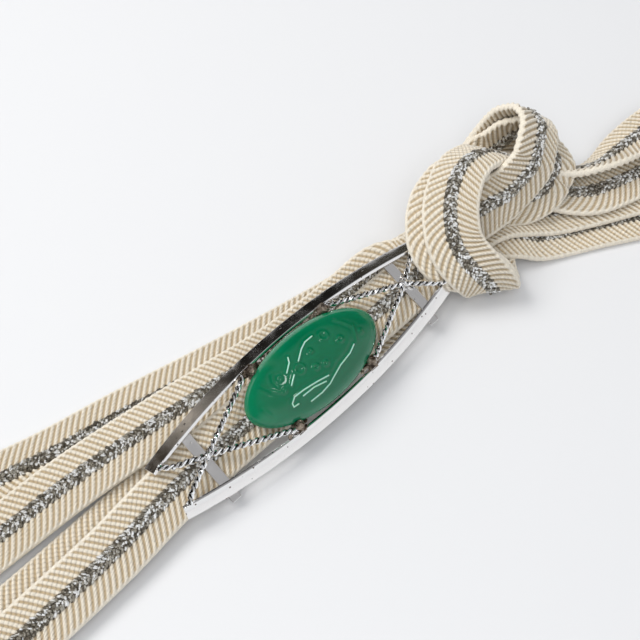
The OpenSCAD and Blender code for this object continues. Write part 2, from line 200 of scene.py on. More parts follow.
inner_rows = [
  [1, 28, 2.4, 5.1, -0.25, -0.2, 0.9, 0], [1, 33, 2.2, 7.1, -0.3, -0.25, 0.85, 0],
  [1, 38.2, 1.7, 7.8, -0.3, -0.35, 0.85, 0], [1, 42.4, -0.1, 7.7, -0.3, -0.6, 0.75, 0],
  [1, 45.8, -2, 7.2, -0.25, -0.6, 0.75, 0], [2, 49.1, -2.7, 7.6, -0.2, -0.6, 0.75, 0],
  [2, 52.8, -1.4, 9.5, 0.05, -0.6, 0.75, 0]]
low_tail = [
  [1, 43.4, 6.4, 10.2, 0.55, 0.25, 0.8, 0], [1, 46.2, 5.4, 7.7, 0.5, 0.2, 0.85, 0],
  [1, 49.2, 1.6, 5.4, 0.3, 0.1, 0.95, 0], [1, 52.6, -3.6, 4.0, 0.1, 0, 1, 0],
  [1, 56.5, -7.4, 3.6, 0, 0, 1, 0], [1, 61, -9.2, 3.5, 0, 0, 1, 0],
  [1, 66, -10.6, 3.4, 0, 0, 1, 0]]
fold_rows = [
  [1, 73, -12.6, 3.7, 0, 0, 1, 0], [1, 78, -14.3, 3.9, 0.2, 0, 1, 0],
  [1, 80.4, -15, 3.6, 0.8, 0, 0.5, 0], [1, 81, -15.2, 2.9, 1, 0, 0, 0],
  [1, 80, -15.4, 2.2, 0.6, 0, -0.8, 0], [1, 77, -16, 2.1, 0, 0, -1, 0]]
under_flat = [
  [72, -16.8, 2.1, 0], [64, -12.6, 2.1, 0], [56, -8.6, 2.1, 0], [50, -5.4, 2.3, 0],
  [46, -3, 3.3, 0], [42, -1, 4.7, 0], [38, 0.2, 5.2, 0], [34, 0.8, 5.2, -0.08],
  [31, 0.9, 4.7, -0.08], [28, 0.8, 3.5, -0.1], [24, 0.3, 2.1, -0.18], [20.5, 0.2, 1.5, -0.18],
  [12, 0, 1.0, -0.08], [5, 0.7, LIE, 0], [0, 1.2, LIE, 0], [-12, 2.3, LIE, 0],
  [-25, 3.2, LIE, 0], [-36, 3.3, LIE, 0], [-48, 3, LIE, 0], [-62, 2.9, LIE, 0]]


def lay(rows, up):
    """Rows of x, y, z and sideways tilt of a flat strand, with its face up (1) or down (-1)."""
    return [[1, r[0], r[1], r[2], 0, up * r[3], up, 0] for r in rows]


def smooth(rows):
    """A smooth curve through all rows, with each row's own number of steps to the next."""
    rows = np.array(rows, float)
    ends = np.vstack([2 * rows[0] - rows[1], rows, 2 * rows[-1] - rows[-2]])
    made = []
    for i, row in enumerate(rows[:-1]):
        a, b, c, d = ends[i:i + 4]
        for k in range(int(row[0])):
            t = k / int(row[0])
            made.append(0.5 * (2 * b + (c - a) * t + (2 * a - 5 * b + 4 * c - d) * t * t
                               + (3 * b - a - 3 * c + d) * t ** 3))
    return np.array(made + [rows[-1]])


def steps(rows):
    """How many rings the rows make."""
    return sum(r[0] for r in rows)


def unit(v):
    return v / np.linalg.norm(v, axis=-1, keepdims=True)


def frames(places, faces):
    """Way along, face and width of every ring, square to each other."""
    way = unit(np.vstack([places[1:2] - places[:1], places[2:] - places[:-2],
                          places[-1:] - places[-2:-1]]))
    face = unit(faces - (faces * way).sum(1, keepdims=True) * way)
    return way, face, np.cross(way, face)


first = smooth(threaded + loop_rows + wrap_rows + tail_rows + bend_right + lay(side_flat, 1)
               + bend_left + middle_rows + inner_rows)
n_threaded = steps(threaded)
n_loop = n_threaded + steps(loop_rows)
n_wrap = n_loop + steps(wrap_rows)
n_tail = n_wrap + steps(tail_rows)
n_bend = n_tail + steps(bend_right)
n_side = n_bend + len(side_flat)
n_left = n_side + steps(bend_left)
n_middle = n_left + steps(middle_rows)
# the inner layer of the knot copies the outer one's rings from its crest to just before its end
CREST_AFTER, LIP_BEFORE = 11, 2
crest, lip = n_threaded + CREST_AFTER, n_wrap - LIP_BEFORE
way, face, width = frames(first[:, 1:4], first[:, 4:7])
copied = np.hstack([np.ones((lip - crest + 1, 1)),
                    (first[:, 1:4] - LAYER * face + first[:, 7:8] * width)[crest:lip + 1],
                    face[crest:lip + 1], np.zeros((lip - crest + 1, 1))])
last = smooth(low_tail + fold_rows + lay(under_flat, -1))
route = np.vstack([first, copied, last])
n_lip = len(first) + len(copied)

# The braid as it shows: slanting ribs on both faces that meet at the middle and point along the
# route, smooth folded selvedges, and along the middle a stripe of silver thread stitches.
RIB, LAME = 1.04, 0.22  # mm from rib to rib; half the stripe's width, as a share of half the cord's
SMALL_STEPS, SMOOTHINGS = 4, 3
fine = smooth(np.array([[SMALL_STEPS, *r[1:]] for r in route]))
places = fine[:, 1:4] * MM
way, face, width = frames(places, fine[:, 4:7])
for _ in range(SMOOTHINGS):
    face[1:-1] = (face[:-2] + 2 * face[1:-1] + face[2:]) / 4
way, face, width = frames(places, face)
run = np.r_[0, np.cumsum(np.linalg.norm(np.diff(places, axis=0), axis=1))]
whole = run[-1]


def on_cord(s, u, rise):
    """Points at s along the cord, u across it from -1 to 1, and rise above its middle layer."""
    s = np.clip(s, 0, whole)
    mid, up, side = (np.stack([np.interp(s, run, a[:, k]) for k in range(3)], -1)
                     for a in (places, face, width))
    up, side = unit(up), unit(side)
    return mid + side * (u * CORD_W / 2 * MM)[..., None] + up * (rise * MM)[..., None]


half = [0.0, 0.08, 0.16, LAME, 0.27, 0.42, 0.6, 0.74, 0.84, 0.9, 0.94, 0.975]
across = np.array([-1.0] + [-u for u in half[:0:-1]] + half + [1.0])
ridge = np.array([0.0, 0.72, 1.0, 0.72, 0.0])  # one rib's profile along the cord
ROUND_FROM, SELVEDGE_FROM = 0.88, 0.86  # where the edge rounds off and where the selvedge starts
END_RIB = 0.6  # the even height of the ribs at a cut end
STITCH_ROWS = ((0.18, 0.6), (0.47, -0.7), (0.77, 0.5))  # mm from the middle, lean in radians
STITCH_EVERY, STITCH_THICK = 0.4, 0.195  # ribs from stitch to stitch, half thickness in mm
FLOOR = 0.02  # mm above the table that nothing sinks below
grown = np.random.default_rng(7)


def slant_of(u):
    """How far back along the cord, in mm, a rib lies at u across it. It leans more at the selvedge."""
    return (0.52 * np.abs(u) + 0.14 * u ** 2) * CORD_W / 2


def band(name, start, end, free_start, free_end):
    """One stretch of the braid between two distances along it, with its silver stitches."""
    step = RIB / len(ridge) * MM
    slant = float(slant_of(1.0)) * MM
    rows = np.arange(math.floor(start / step), math.ceil((end + slant * free_end) / step) + 1)
    if not free_start:
        rows = rows[rows * step >= start - 1e-9]
    if not free_end:
        rows = rows[rows * step <= end + step]
    s = rows[:, None] * step - slant_of(across)[None] * MM
    if free_start:
        s = np.maximum(s, start)
    if free_end:
        s = np.minimum(s, end)
    past = np.clip(np.abs(across) - ROUND_FROM, 0, 1) / (1 - ROUND_FROM)
    edge = np.sqrt(np.clip(1 - past ** 2, 0, 1))
    rib = ridge[rows % len(ridge)][:, None]
    in_stripe, in_selvedge = np.abs(across) < LAME, np.abs(across) > SELVEDGE_FROM
    amount = np.where(in_stripe, 0.10, 0.30) * np.where(in_selvedge, 0.85, 1.0)
    level = np.where(in_stripe, 0.5, 0.40) + np.where(in_selvedge, 0.05, 0.0)
    rib = np.where(free_start & (s <= start) | free_end & (s >= end), END_RIB, rib)
    rise = (level[None] + amount[None] * rib) * edge[None]
    u = np.broadcast_to(across, s.shape)
    top, low = on_cord(s, u, rise), on_cord(s, u, -rise)
    n, m = s.shape
    # the low side keeps its own inner columns and shares the two selvedge columns
    ring = np.concatenate([top, low[:, -2:0:-1]], axis=1)
    cols = ring.shape[1]
    phase = np.concatenate([np.repeat(rows[:, None] / len(ridge), m, 1),
                            np.repeat(rows[:, None] / len(ridge), m - 2, 1)], axis=1)
    over = np.concatenate([u, u[:, -2:0:-1]], axis=1) * 0.5 + 0.5
    index = np.arange(n * cols).reshape(n, cols)
    a, b = index[:-1], index[1:]
    quads = np.stack([a, b, np.roll(b, -1, 1), np.roll(a, -1, 1)], -1).reshape(-1, 4)
    ends = []
    for r, flip in ((0, False), (n - 1, True)):
        for j in range(m - 1):
            lower = [index[r, -k % cols] for k in (j, j + 1)]
            q = [index[r, j], index[r, j + 1], lower[1], lower[0]]
            q = [v for k, v in enumerate(q) if v not in q[:k]]
            ends.append(q[::-1] if flip else q)
    points = ring.reshape(-1, 3)
    polygons = [list(q) for q in quads] + ends
    kinds = [0] * len(polygons)
    uv = np.stack([phase.reshape(-1), over.reshape(-1)], -1)
    # silver stitches: three slanted rows on each side of the middle, on both faces of the braid
    turns = np.radians([45, 135, 225, 315])
    lengths = np.array([-0.34, -0.16, 0.16, 0.34])
    k = np.arange(math.ceil((start + 0.9 * MM) / (RIB * MM)),
                  math.floor((end - 0.3 * MM) / (RIB * MM)), STITCH_EVERY)
    for beside in (-1, 1):
        for top_side in (1, -1):
            for place, lean in STITCH_ROWS:
                jig = grown.normal(0, 1, (len(k), 5))
                # a random tone per stitch for the silver thread; its bright end is painted glint
                tone = grown.random(len(k))
                y0 = place + 0.07 * jig[:, 0]
                along_rib = lengths[None] * (1 + 0.15 * jig[:, 1:2])
                turned = lean + 0.25 * jig[:, 4:5]
                uu = beside * (y0[:, None] + along_rib * np.cos(turned)) / (CORD_W / 2)
                ss = (k * RIB + 0.10 * jig[:, 2] + 0.5 * place)[:, None]
                ss = ss - slant_of(uu) - along_rib * np.sin(turned)
                up = (0.58 + 0.07 * jig[:, 3:4] + 0.06 * (np.abs(lengths) < 0.3)[None]) * top_side
                body = on_cord(ss * MM, uu, np.broadcast_to(up, ss.shape))
                along = unit(body[:, -1] - body[:, 0])
                lift = np.stack([np.interp(ss[:, 1] * MM, run, face[:, c]) for c in range(3)], -1)
                lift = unit(lift) * top_side
                side = np.cross(along, lift)
                thick = STITCH_THICK * (1 + 0.15 * jig[:, 3])[:, None, None] * MM
                circle = (side[:, None] * np.cos(turns)[None, :, None]
                          + lift[:, None] * np.sin(turns)[None, :, None])
                base = len(points)
                beads = np.concatenate([body[:, :1], body[:, 1:2] + thick * circle,
                                        body[:, 2:3] + thick * circle, body[:, 3:]], axis=1)
                points = np.vstack([points, beads.reshape(-1, 3)])
                uv = np.vstack([uv, np.stack([np.repeat(tone, 10), np.full(len(k) * 10, 0.5)], -1)])
                g = base + np.arange(len(k) * 10).reshape(len(k), 10)
                for i in range(4):
                    j = (i + 1) % 4
                    new = g[:, [0, 1 + j, 1 + i]].tolist() + g[:, [1 + i, 1 + j, 5 + j, 5 + i]].tolist()
                    new += g[:, [9, 5 + i, 5 + j]].tolist()
                    polygons += new
                    kinds += [1] * len(new)
    points[:, 2] = np.maximum(points[:, 2], FLOOR * MM)
    mesh = bpy.data.meshes.new(name)
    mesh.from_pydata(points.tolist(), [], [[int(v) for v in q[::-1]] for q in polygons])
    mesh.polygons.foreach_set("material_index", kinds)
    mesh.polygons.foreach_set("use_smooth", [True] * len(polygons))
    layer = mesh.uv_layers.new(name="braid")
    corner = np.zeros(len(mesh.loops), np.int32)
    mesh.loops.foreach_get("vertex_index", corner)
    layer.data.foreach_set("uv", uv[corner].astype(np.float32).ravel())
    made = bpy.data.objects.new(name, mesh)
    bpy.context.scene.collection.objects.link(made)
    work = bmesh.new()
    work.from_mesh(mesh)
    work.verts.ensure_lookup_table()
    # points that the cut ends or the tight folds press together are merged, the stitches' aren't
    bmesh.ops.remove_doubles(work, verts=work.verts[:n * cols], dist=2e-6)
    cloth_edges = [e for e in work.edges if not e.link_faces[0].material_index]
    bmesh.ops.dissolve_degenerate(work, edges=cloth_edges, dist=1e-6)
    work.to_mesh(mesh)
    work.free()
    for cover in (silk, lame):
        mesh.materials.append(cover)
    return made


def shader(name):
    """A new material, with its node tree and shader."""
    made = bpy.data.materials.new(name)
    made.use_nodes = True
    return made, made.node_tree, made.node_tree.nodes["Principled BSDF"]


def node(tree, kind, inputs=(), **settings):
    """A new node with its settings, and each input set to a value or linked to a socket."""
    made = tree.nodes.new(kind)
    for key, value in settings.items():
        setattr(made, key, value)
    for key, value in inputs:
        if isinstance(value, bpy.types.NodeSocket):
            tree.links.new(value, made.inputs[key])
        else:
            made.inputs[key].default_value = value
    return made


# Ivory silk: light rib crests, smooth pale selvedges, and dark olive ground under the silver
# stitches. The grooves between the ribs are painted tan, as painted shade. The fine stitches
# along each rib are bump, with painted shade darkening the hollows between them.
silk, tree, skin = shader("ivory_silk")
strip = node(tree, "ShaderNodeUVMap", uv_map="braid")
xy = node(tree, "ShaderNodeSeparateXYZ", [(0, strip.outputs[0])])
rib_at = node(tree, "ShaderNodeMath", [(0, xy.outputs[0])], operation="FRACT")
off = node(tree, "ShaderNodeMath", [(0, rib_at.outputs[0]), (1, 0.4)], operation="SUBTRACT")
off = node(tree, "ShaderNodeMath", [(0, off.outputs[0])], operation="ABSOLUTE")
groove = node(tree, "ShaderNodeMapRange", [(0, off.outputs[0]), (1, 0.15), (2, 0.40)],
              interpolation_type="SMOOTHSTEP")
out_from = node(tree, "ShaderNodeMath", [(0, xy.outputs[1]), (1, 0.5)], operation="SUBTRACT")
out_from = node(tree, "ShaderNodeMath", [(0, out_from.outputs[0])], operation="ABSOLUTE")
selvedge = node(tree, "ShaderNodeMapRange", [(0, out_from.outputs[0]), (1, 0.435), (2, 0.465)])
plain = node(tree, "ShaderNodeMath", [(0, 1.0), (1, selvedge.outputs[0])], operation="SUBTRACT")
groove = node(tree, "ShaderNodeMath", [(0, groove.outputs[0]), (1, plain.outputs[0])], operation="MULTIPLY")
here = node(tree, "ShaderNodeTexCoord")
cloud = node(tree, "ShaderNodeTexNoise", [(0, here.outputs["Object"]), ("Scale", 60.0), ("Detail", 2.0)])
grain = node(tree, "ShaderNodeTexNoise", [(0, here.outputs["Object"]), ("Scale", 3200.0), ("Detail", 3.0)])
CREST_TONES = [(6, (0.83, 0.75, 0.61, 1)), (7, (0.89, 0.82, 0.70, 1))]
# painted shade: the grooves between the ribs are coloured tan
GROOVE_SHADE_TONES = [(6, (0.42, 0.295, 0.15, 1)), (7, (0.55, 0.425, 0.26, 1))]
pale = node(tree, "ShaderNodeMix", [(0, cloud.outputs[0])] + CREST_TONES, data_type="RGBA")
tan = node(tree, "ShaderNodeMix", [(0, cloud.outputs[0])] + GROOVE_SHADE_TONES, data_type="RGBA")
groove_shade = node(tree, "ShaderNodeMath", [(0, groove.outputs[0]), (1, 0.85)], operation="MULTIPLY")
cloth = node(tree, "ShaderNodeMix", [(0, groove_shade.outputs[0]), (6, pale.outputs[2]), (7, tan.outputs[2])],
             data_type="RGBA")
tooth = node(tree, "ShaderNodeMath", [(0, groove.outputs[0]), (1, 0.022)], operation="MULTIPLY")
tooth = node(tree, "ShaderNodeMath", [(0, out_from.outputs[0]), (1, tooth.outputs[0])], operation="SUBTRACT")
ground = node(tree, "ShaderNodeMapRange", [(0, tooth.outputs[0]), (1, 0.112), (2, 0.100)])
cloth = node(tree, "ShaderNodeMix",
             [(0, ground.outputs[0]), (6, cloth.outputs[2]), (7, (0.16, 0.135, 0.10, 1))], data_type="RGBA")
count = node(tree, "ShaderNodeMath", [(0, xy.outputs[1]), (1, 17.0)], operation="MULTIPLY")
shift = node(tree, "ShaderNodeMath", [(0, rib_at.outputs[0]), (1, 0.8)], operation="MULTIPLY")
count = node(tree, "ShaderNodeMath", [(0, count.outputs[0]), (1, shift.outputs[0])], operation="ADD")
count = node(tree, "ShaderNodeMath", [(0, count.outputs[0])], operation="FRACT")
count = node(tree, "ShaderNodeMath", [(0, count.outputs[0]), (1, 0.5)], operation="SUBTRACT")
count = node(tree, "ShaderNodeMath", [(0, count.outputs[0])], operation="ABSOLUTE")
stitch = node(tree, "ShaderNodeMapRange", [(0, count.outputs[0]), (1, 0.5), (2, 0.2)],
              interpolation_type="SMOOTHSTEP")
# painted shade: the hollows between the fine stitches are darkened, except on the selvedges
stitch_shade = node(tree, "ShaderNodeMapRange", [(0, stitch.outputs[0]), (1, 0.0), (2, 0.55), (3, 0.92), (4, 1.0)])
stitch_shade = node(tree, "ShaderNodeMath", [(0, stitch_shade.outputs[0]), (1, selvedge.outputs[0])], operation="MAXIMUM")
cloth = node(tree, "ShaderNodeMix", [(0, 1.0), (6, cloth.outputs[2]), (7, stitch_shade.outputs[0])], data_type="RGBA",
             blend_type="MULTIPLY")
dust = node(tree, "ShaderNodeMapRange", [(0, grain.outputs[0]), (1, 0.3), (2, 0.7), (3, 0.86), (4, 1.06)])
cloth = node(tree, "ShaderNodeMix", [(0, 1.0), (6, cloth.outputs[2]), (7, dust.outputs[0])], data_type="RGBA",
             blend_type="MULTIPLY")
tree.links.new(cloth.outputs[2], skin.inputs["Base Color"])
stitch = node(tree, "ShaderNodeMath", [(0, stitch.outputs[0]), (1, plain.outputs[0])], operation="MULTIPLY")
uneven = node(tree, "ShaderNodeMath", [(0, grain.outputs[0]), (1, 0.9)], operation="MULTIPLY")
weave = node(tree, "ShaderNodeMath", [(0, stitch.outputs[0]), (1, uneven.outputs[0])], operation="ADD")
bump = node(tree, "ShaderNodeBump", [("Height", weave.outputs[0]), ("Strength", 0.8), ("Distance", 0.00012)])
tree.links.new(bump.outputs[0], skin.inputs["Normal"])
skin.inputs["Roughness"].default_value = 0.72
skin.inputs["Sheen Weight"].default_value = 0.25
skin.inputs["Sheen Roughness"].default_value = 0.4
skin.inputs["Specular IOR Level"].default_value = 0.35

# Silver thread: a random tone per stitch, from the thread's own dull dark and grey to near white, which is
# painted glint.
lame, tree, skin = shader("silver_thread")
here = node(tree, "ShaderNodeTexCoord")
flakes = node(tree, "ShaderNodeTexNoise", [(0, here.outputs["Object"]), ("Scale", 4200.0), ("Detail", 2.0)])
strip = node(tree, "ShaderNodeUVMap", uv_map="braid")
each = node(tree, "ShaderNodeSeparateXYZ", [(0, strip.outputs[0])])
spread = node(tree, "ShaderNodeMapRange", [(0, flakes.outputs[0]), (1, 0.3), (2, 0.7), (3, -0.22), (4, 0.22)])
both = node(tree, "ShaderNodeMath", [(0, each.outputs[0]), (1, spread.outputs[0])], operation="ADD")
tone = node(tree, "ShaderNodeValToRGB", [(0, both.outputs[0])])
tone.color_ramp.elements[0].position, tone.color_ramp.elements[0].color = 0.08, (0.10, 0.085, 0.062, 1)
tone.color_ramp.elements[1].position, tone.color_ramp.elements[1].color = 0.92, (0.98, 0.98, 0.97, 1)
# the near-white end of these tones is painted glint
THREAD_TONES_AND_GLINTS = [(0.3, (0.29, 0.26, 0.205, 1)), (0.6, (0.50, 0.47, 0.41, 1)), (0.74, (0.9, 0.9, 0.88, 1))]
for place, value in THREAD_TONES_AND_GLINTS:
    tone.color_ramp.elements.new(place).color = value
tree.links.new(tone.outputs[0], skin.inputs["Base Color"])
skin.inputs["Metallic"].default_value = 0.4
skin.inputs["Roughness"].default_value = 0.28
skin.inputs["Specular IOR Level"].default_value = 0.8

# Six cords end to end make the whole route, each with the sections that it stands for. The first
# and last ends are plain, cut square just outside the view.
at = run[np.minimum(np.arange(len(route)) * SMALL_STEPS, len(run) - 1)]
stretches = [
    ("cord_knot_outer", 0, n_wrap, ["cord_threaded", "cord_loop_outer", "cord_wrap_outer"]),
    ("cord_tail_and_bend", n_wrap, n_bend, ["cord_tail_outer", "cord_bend_right"]),
    ("cord_side", n_bend, n_side, ["cord_side_strand"]),
    ("cord_bend_and_middle", n_side, n_middle, ["cord_bend_left", "cord_middle_strand"]),
    ("cord_knot_inner", n_middle, n_lip, ["cord_loop_inner", "cord_wrap_inner"]),
    ("cord_under", n_lip, len(route) - 1,
     ["cord_tail_inner", "cord_fold_right", "cord_under_strand"]),
]
for name, one, two, stood_for in stretches:
    made = band(name + "_braid", at[one], at[two], one == 0, two == len(route) - 1)
    line = places[one * SMALL_STEPS:two * SMALL_STEPS + 1:2]
    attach(made, "root")
    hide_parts(*stood_for)

# The slide's two side rails: strips of silver, 54 mm long, bowed outward and sloped down and out.
# Each is a strip's section spun round the rail's curve, with its sharp edges softened. The slide
# lies tilted on the cord, and what is built flat here is turned and lifted by "seated" at the end.
HALF, GAP, BOW = 27.2 * MM, 6.2 * MM, 3.25 * MM  # half length, gap at the ends, bow at the middle
STRIP, SHEET, SLOPE, WORN = 2.3 * MM, 0.45 * MM, math.radians(41), 0.17 * MM  # WORN: cut off the inner corner
curve_r = (HALF ** 2 + BOW ** 2) / (2 * BOW)
sweep = 2 * math.asin(HALF / curve_r)
centre_y = GAP / 2 + BOW - curve_r
seated = (Matrix.Translation((0, 0, 6.65 * MM)) @ Matrix.Rotation(math.radians(-1.1), 4, "Y")
          @ Matrix.Rotation(math.radians(15.2), 4, "X"))


def shape_in_edit(obj, act):
    """Runs act with obj alone in edit mode."""
    bpy.ops.object.select_all(action="DESELECT")
    obj.select_set(True)
    bpy.context.view_layer.objects.active = obj
    bpy.ops.object.mode_set(mode="EDIT")
    bpy.ops.mesh.select_all(action="SELECT")
    act()
    bpy.ops.object.mode_set(mode="OBJECT")


def settle(obj, name, material, softened=0.0, segments=2, round_to=35):
    """Softens obj's edges if asked, rounds what is flatter than round_to degrees, names it, gives it
    its material and puts it in the slide's pose, riding on the root."""
    bpy.ops.object.select_all(action="DESELECT")
    obj.select_set(True)
    bpy.context.view_layer.objects.active = obj
    bpy.ops.object.transform_apply(location=True, rotation=True, scale=True)
    if softened:
        bevel = obj.modifiers.new("soft", "BEVEL")
        bevel.width, bevel.segments, bevel.limit_method = softened, segments, "ANGLE"
        bpy.ops.object.modifier_apply(modifier="soft")
    bpy.ops.object.shade_smooth_by_angle(angle=math.radians(round_to))
    obj.name = obj.data.name = name
    obj.data.materials.clear()
    obj.data.materials.append(material)
    obj.data.transform(seated)
    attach(obj, "root")
    return obj


def joined(objs):
    """All objs as one, the first."""
    bpy.ops.object.select_all(action="DESELECT")
    for o in objs:
        o.select_set(True)
    bpy.context.view_layer.objects.active = objs[0]
    bpy.ops.object.join()
    return objs[0]


# Polished silver, slightly fogged in places, with small brown pits.
silver, tree, skin = shader("polished_silver")
here = node(tree, "ShaderNodeTexCoord")
skin.inputs["Metallic"].default_value = 1.0
wear = node(tree, "ShaderNodeTexNoise", [(0, here.outputs["Object"]), ("Scale", 420.0), ("Detail", 5.0)])
fog = node(tree, "ShaderNodeMapRange", [(0, wear.outputs[0]), (1, 0.35), (2, 0.75), (3, 0.07), (4, 0.30)])
tree.links.new(fog.outputs[0], skin.inputs["Roughness"])
pits = node(tree, "ShaderNodeTexVoronoi", [(0, here.outputs["Object"]), ("Scale", 1000.0)])
pit = node(tree, "ShaderNodeMapRange", [(0, pits.outputs["Distance"]), (1, 0.10), (2, 0.17)])
pick = node(tree, "ShaderNodeSeparateColor", [(0, pits.outputs["Color"])])
few = node(tree, "ShaderNodeMath", [(0, pick.outputs[0]), (1, 0.4)], operation="LESS_THAN")
pit = node(tree, "ShaderNodeMath", [(0, pit.outputs[0]), (1, few.outputs[0])], operation="MAXIMUM")
tone = node(tree, "ShaderNodeMix",
            [(0, pit.outputs[0]), (6, (0.12, 0.08, 0.06, 1)), (7, (0.90, 0.885, 0.87, 1))], data_type="RGBA")
tree.links.new(tone.outputs[2], skin.inputs["Base Color"])
dent = node(tree, "ShaderNodeBump", [("Height", pit.outputs[0]), ("Strength", 0.5), ("Distance", 0.00003)])
tree.links.new(dent.outputs[0], skin.inputs["Normal"])

rails = []
for side in (1, -1):
    bpy.ops.object.select_all(action="DESELECT")
    bpy.ops.mesh.primitive_plane_add(size=1.0)
    strip = bpy.context.object
    begin = math.pi / 2 - sweep / 2
    corners = [(0, -SHEET), (STRIP, -SHEET), (STRIP, 0), (WORN, 0)]
    for v, (r, h) in zip([strip.data.vertices[k] for k in (0, 1, 3, 2)], corners):
        out_by = curve_r + r * math.cos(SLOPE) + h * math.sin(SLOPE)
        rise = -r * math.sin(SLOPE) + h * math.cos(SLOPE)
        v.co = (out_by * math.cos(begin), centre_y + out_by * math.sin(begin), rise)
    shape_in_edit(strip, lambda: bpy.ops.mesh.spin(steps=44, angle=sweep, center=(0, centre_y, 0),
                                                   axis=(0, 0, -1)))
    if max(v.co.y for v in strip.data.vertices) < centre_y + curve_r * 0.99:
        raise SystemExit("the rail was spun the wrong way")
    if side < 0:
        strip.data.transform(Matrix.Scale(-1, 4, (0, 1, 0)))
    shape_in_edit(strip, lambda: (bpy.ops.mesh.remove_doubles(threshold=1e-6),
                                  bpy.ops.mesh.normals_make_consistent(inside=False)))
    rails.append(strip)
side_rails = settle(joined(rails), "slide_rails", silver, 0.06 * MM, 3)
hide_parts("openwork_slide")

# Two flat cord loops under the rails: a bar across under the wires, and a strap round below the
# cord, soldered inside the rails. The cord runs through them. Their sides are a dull piece of
# their own, made with the seat's silver below.
LOOP_X = 20.5
loop_bars = [
    # y, z, size along x, y and z in mm, and whether it is a side
    (0, -1.125, (1.7, 10.8, 0.45), False), (0, -3.375, (1.7, 12.2, 0.45), False),
    (5.9, -2.55, (2.2, 0.4, 2.1), True), (-5.9, -2.55, (2.2, 0.4, 2.1), True),
    (-6.5, -2.625, (1.6, 1.4, 0.45), False)]
bars, sides = [], []
for end in (-1, 1):
    for y, z, size, is_side in loop_bars:
        bpy.ops.object.select_all(action="DESELECT")
        bpy.ops.mesh.primitive_cube_add(size=1.0, location=(end * LOOP_X * MM, y * MM, z * MM))
        bar = bpy.context.object
        bar.dimensions = [d * MM for d in size]
        bpy.ops.object.transform_apply(location=True, rotation=True, scale=True)
        (sides if is_side else bars).append(bar)
settle(joined(bars), "slide_cord_loops", silver, 0.1 * MM, 3, 10)

# Twisted wires: two at each end, each of two thin silver wires wound round each other. They cross
# in a small ring and are soldered to the rails and to the seat. Their polished crowns are bright
# and the grooves between the turns are black.
WIRE_R, WIRE_OFF, WIRE_PITCH, WIRE_STEP, WIRE_Z = 0.26, 0.25, 2.1, 0.13, 0.05
crossings = ((-19.9, 0.2), (20, 0.4))
wires = []
runs = [((-26.2, 3.3), (-24.6, 2.1)), ((-24.6, 2.1), (-19.9, 0.2)), ((-19.9, 0.2), (-7.6, -5.5)),
        ((-26.2, -3.3), (-25, -2.3)), ((-25, -2.3), (-19.9, 0.2)), ((-19.9, 0.2), (-8.6, 5.4)),
        ((26.2, 3.7), (24.3, 3.2)), ((24.3, 3.2), (20, 0.4)), ((20, 0.4), (7.6, -5.5)),
        ((26.2, -3.7), (24.4, -3.2)), ((24.4, -3.2), (20, 0.4)), ((20, 0.4), (8, 5.6))]
for (x0, y0), (x1, y1) in runs:
    a, b = Vector((x0, y0, WIRE_Z)) * MM, Vector((x1, y1, WIRE_Z)) * MM
    along = b - a
    count = max(4, int(along.length / (WIRE_STEP * MM)))
    side, up = along.normalized().cross(Vector((0, 0, 1))), Vector((0, 0, 1))
    for strand in (0, math.pi):
        line = bpy.data.curves.new("wire", "CURVE")
        line.dimensions, line.bevel_depth, line.bevel_resolution = "3D", WIRE_R * MM, 2
        line.use_fill_caps = True
        path = line.splines.new("POLY")
        path.points.add(count)
        for k in range(count + 1):
            turn_by = strand + k / count * along.length / (WIRE_PITCH * MM) * 2 * math.pi
            p = a + along * k / count + WIRE_OFF * MM * (side * math.cos(turn_by) + up * math.sin(turn_by))
            path.points[k].co = (*p, 1)
        wires.append(bpy.data.objects.new("wire", line))
        bpy.context.scene.collection.objects.link(wires[-1])
bpy.ops.object.select_all(action="DESELECT")
for w in wires:
    w.select_set(True)
bpy.context.view_layer.objects.active = wires[0]
bpy.ops.object.convert(target="MESH")
for x, y in crossings:
    bpy.ops.object.select_all(action="DESELECT")
    bpy.ops.mesh.primitive_torus_add(major_radius=0.42 * MM, minor_radius=0.2 * MM, major_segments=20,
                                     minor_segments=8, location=(x * MM, y * MM, 0.1 * MM),
                                     rotation=(math.pi / 2, 0, 0.5))
    wires.append(bpy.context.object)
bright_wire, tree, skin = shader("bright_wire")
here = node(tree, "ShaderNodeTexCoord")
skin.inputs["Metallic"].default_value = 1.0
skin.inputs["Roughness"].default_value = 0.07
smut = node(tree, "ShaderNodeTexNoise", [(0, here.outputs["Object"]), ("Scale", 700.0), ("Detail", 3.0)])
smut = node(tree, "ShaderNodeMapRange", [(0, smut.outputs[0]), (1, 0.3), (2, 0.7), (3, -0.12), (4, 0.12)])
crown = node(tree, "ShaderNodeAttribute", attribute_name="crown")
crown = node(tree, "ShaderNodeMath", [(0, crown.outputs["Fac"]), (1, smut.outputs[0])], operation="ADD")
tone = node(tree, "ShaderNodeMapRange", [(0, crown.outputs[0]), (1, 0.44), (2, 0.68), (3, 0.07), (4, 0.99)])
tree.links.new(tone.outputs[0], skin.inputs["Base Color"])
wires = joined(wires)
shape_in_edit(wires, lambda: bpy.ops.mesh.remove_doubles(threshold=1e-7))
spots = np.zeros(len(wires.data.vertices) * 3)
wires.data.vertices.foreach_get("co", spots)
spots = spots.reshape(-1, 3) / MM
off_axis = np.full(len(spots), 9.0)
for a, b in runs:
    a, b = np.array([*a, WIRE_Z]), np.array([*b, WIRE_Z])
    t = np.clip(((spots - a) @ (b - a)) / ((b - a) @ (b - a)), 0, 1)
    off_axis = np.minimum(off_axis, np.linalg.norm(spots - a - t[:, None] * (b - a), axis=1))
crown = wires.data.attributes.new("crown", "FLOAT", "POINT")
crown.data.foreach_set("value", (off_axis / 0.5).astype(np.float32))
settle(wires, "slide_twisted_wires", bright_wire)

